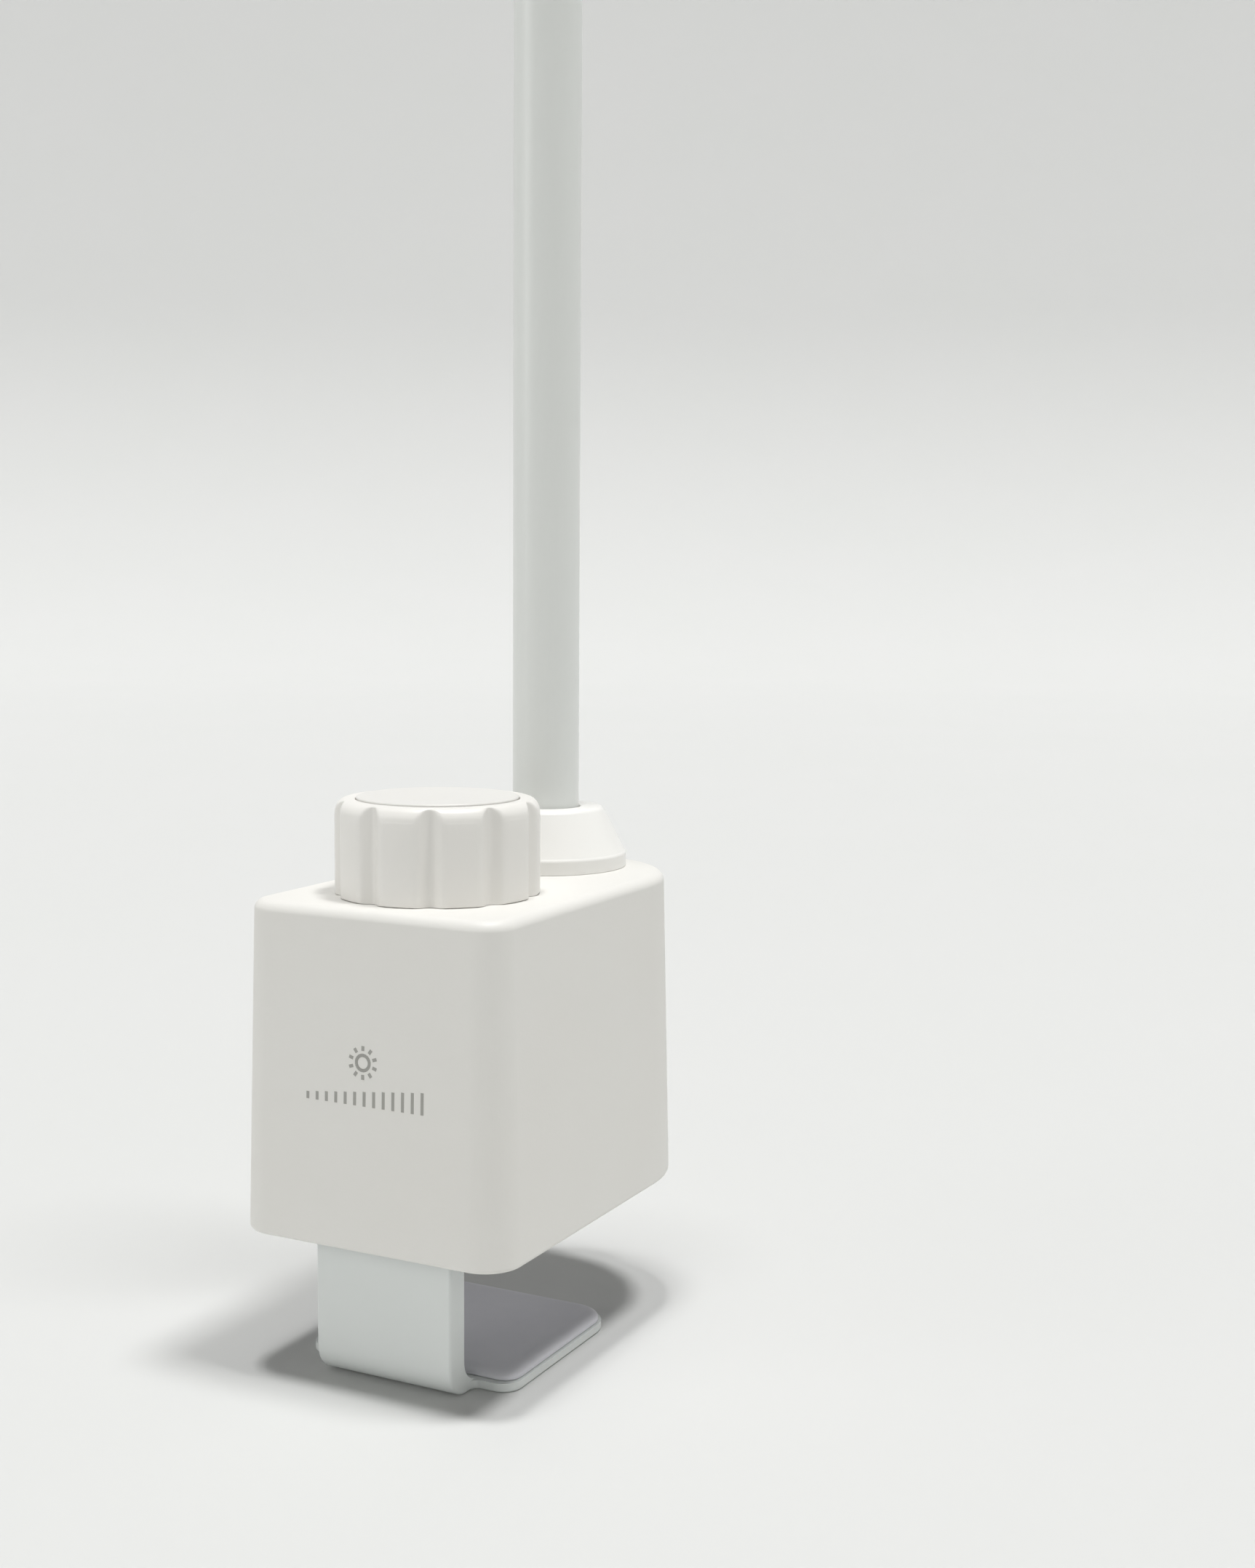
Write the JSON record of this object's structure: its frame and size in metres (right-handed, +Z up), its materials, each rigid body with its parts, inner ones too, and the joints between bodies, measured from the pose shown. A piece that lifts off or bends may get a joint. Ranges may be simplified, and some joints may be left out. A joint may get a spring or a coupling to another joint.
{
  "type": "clamp-on reading lamp",
  "caption": "Desk-clamp reading lamp: box-shaped clamp housing with a fluted knob and steel lower jaw, a swivelling straight pole, and a slim tilting light bar.",
  "frame": {"origin": "middle of the upper jaw's rubber face, on the clamp screw's axis, so z = 0 is the top of the desk that the lamp grips", "axes": "+Z up along the clamp screw and the pole; -Y towards the printed front, where the jaw's strap passes the desk's edge; +Y over the desk; +X to the right seen from the front"},
  "size_m": [0.0518, 0.3263, 0.3668],
  "materials": {
    "housing_plastic": "fine moulded grain, warm white",
    "knob_plastic": "smooth moulded, warm white",
    "collar_plastic": "smooth moulded, warm white",
    "cap_plastic": "smooth moulded, warm white",
    "inner_plastic": "plain moulded acetal",
    "painted_steel": "satin powder coat, cool white",
    "pole_paint": "satin paint, cool white",
    "bar_paint": "satin paint on aluminium, white",
    "pad_rubber": "matt light-grey silicone",
    "steel": "zinc-plated steel",
    "brass": "turned brass",
    "black_plastic": "black moulded",
    "green_board": "green glass-fibre board",
    "white_board": "white-masked aluminium-backed board",
    "led_chip": "yellow phosphor chip",
    "opal_diffuser": "opal acrylic",
    "wire_jacket": "white soft jacket"
  },
  "bodies": {
    "base": {"housing_shell": "housing_plastic", "base_plate": "black_plastic", "upper_pad": "pad_rubber", "base_screws": "steel", "jaw_guide": "inner_plastic", "screw_bush": "inner_plastic", "thrust_washer": "steel", "pole_collar": "collar_plastic", "collar_screws": "steel", "pole_bush": "inner_plastic", "friction_washer": "steel", "wire_base": "wire_jacket", "driver_board": "green_board", "driver_parts": "black_plastic", "dc_jack": "black_plastic", "jack_nut": "steel"},
    "knob": {"clamp_screw": "steel", "clamp_knob": "knob_plastic", "knob_insert": "brass", "knob_disc": "knob_plastic"},
    "jaw": {"jaw_strap": "painted_steel", "jaw_nut": "steel", "jaw_rivets": "steel", "jaw_pad": "pad_rubber"},
    "pole": {"pole_retainer": "steel", "retainer_grubs": "steel", "pole_tube": "pole_paint", "wire_pole": "wire_jacket", "wire_plug": "wire_jacket", "yoke": "bar_paint", "hinge_bolt": "steel", "hinge_nut": "steel"},
    "head": {"hinge_discs": "inner_plastic", "head_bracket": "steel", "head_channel": "bar_paint", "cap_inner": "cap_plastic", "cap_outer": "cap_plastic", "diffuser": "opal_diffuser", "led_board": "white_board", "led_chips": "led_chip", "control_board": "green_board", "board_spacers": "steel", "tact_switch": "black_plastic", "head_screws": "steel"},
    "button": {"dimmer_button": "cap_plastic"}
  },
  "joints": [
    {"name": "knob_turn", "type": "hinge", "parent": "base", "child": "knob", "pos_m": [0, 0, 0.065], "axis": [0, 0, 1], "range_deg": [-5473, 4465]},
    {"name": "jaw_slide", "type": "slide", "parent": "base", "child": "jaw", "axis": [0, 0, 1], "range_m": [-0.0155, 0.019]},
    {"name": "pole_swivel", "type": "hinge", "parent": "base", "child": "pole", "pos_m": [0, 0.0373, 0.06], "axis": [0, 0, 1], "range_deg": [-170, 170]},
    {"name": "head_tilt", "type": "hinge", "parent": "pole", "child": "head", "pos_m": [0, 0.0373, 0.336], "axis": [1, 0, 0], "range_deg": [-45, 90]},
    {"name": "button_press", "type": "slide", "parent": "head", "child": "button", "axis": [0, 0, -1], "range_m": [0, 0.0006], "stiffness_N_per_m": 500}
  ],
  "couplings": [
    {"joint": "knob_turn", "follows": "jaw_slide", "rad_per_m": -5026.5}
  ]
}
